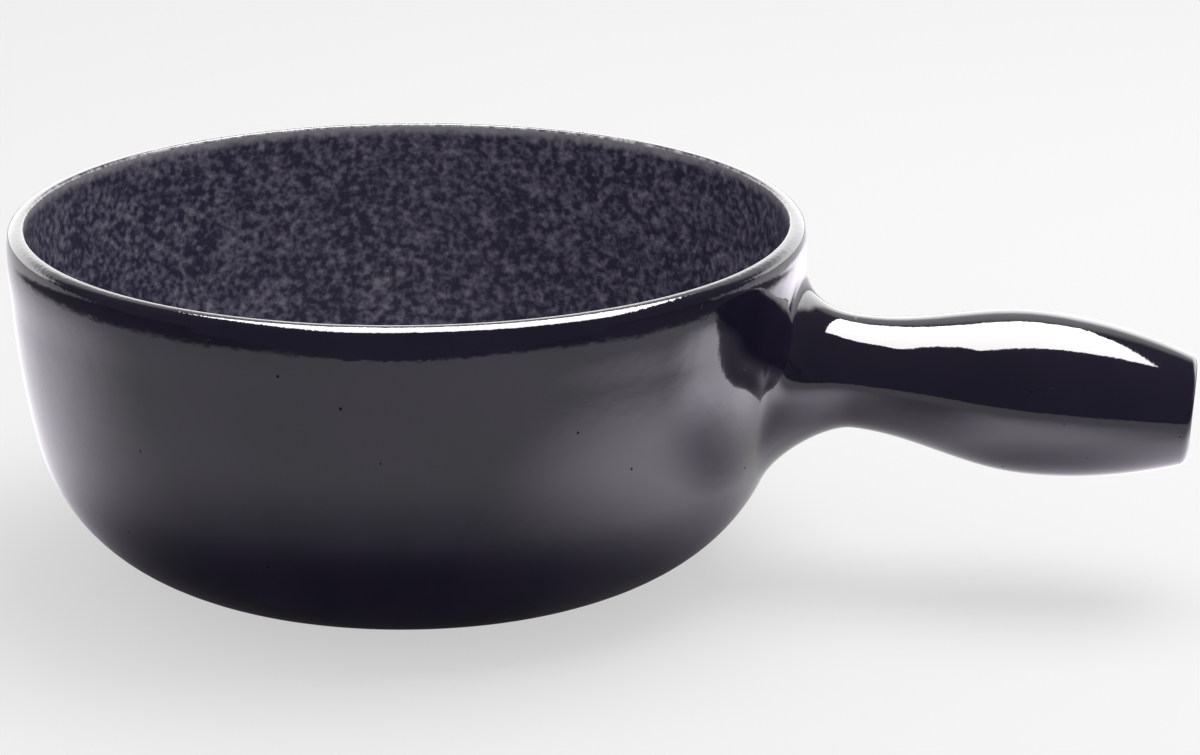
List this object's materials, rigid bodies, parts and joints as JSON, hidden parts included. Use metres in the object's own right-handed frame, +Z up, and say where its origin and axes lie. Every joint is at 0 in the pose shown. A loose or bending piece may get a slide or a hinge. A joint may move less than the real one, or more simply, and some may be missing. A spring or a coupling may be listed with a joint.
{
  "type": "fondue pot",
  "caption": "Glazed stoneware fondue pot with a round-cornered bowl, speckled liner, rounded rim and a hollow bulbous side handle.",
  "frame": {"origin": "centre of the foot's flat underside, on the bowl's axis", "axes": "+Z up along the bowl's axis, +X along the handle, +Y completing the right hand"},
  "size_m": [0.3274, 0.22, 0.0985],
  "materials": {
    "stoneware": "matte fired clay",
    "slip": "matte fired slip",
    "granite_glaze": "satin speckled",
    "dark_glaze": "high gloss"
  },
  "bodies": {
    "root": {"bowl": "stoneware", "handle": "stoneware", "luting_slip": "slip", "root_fillet": "stoneware", "liner_glaze": "granite_glaze", "outer_glaze": "dark_glaze", "rim_glaze": "dark_glaze", "handle_glaze": "dark_glaze", "root_glaze": "dark_glaze"}
  },
  "joints": []
}
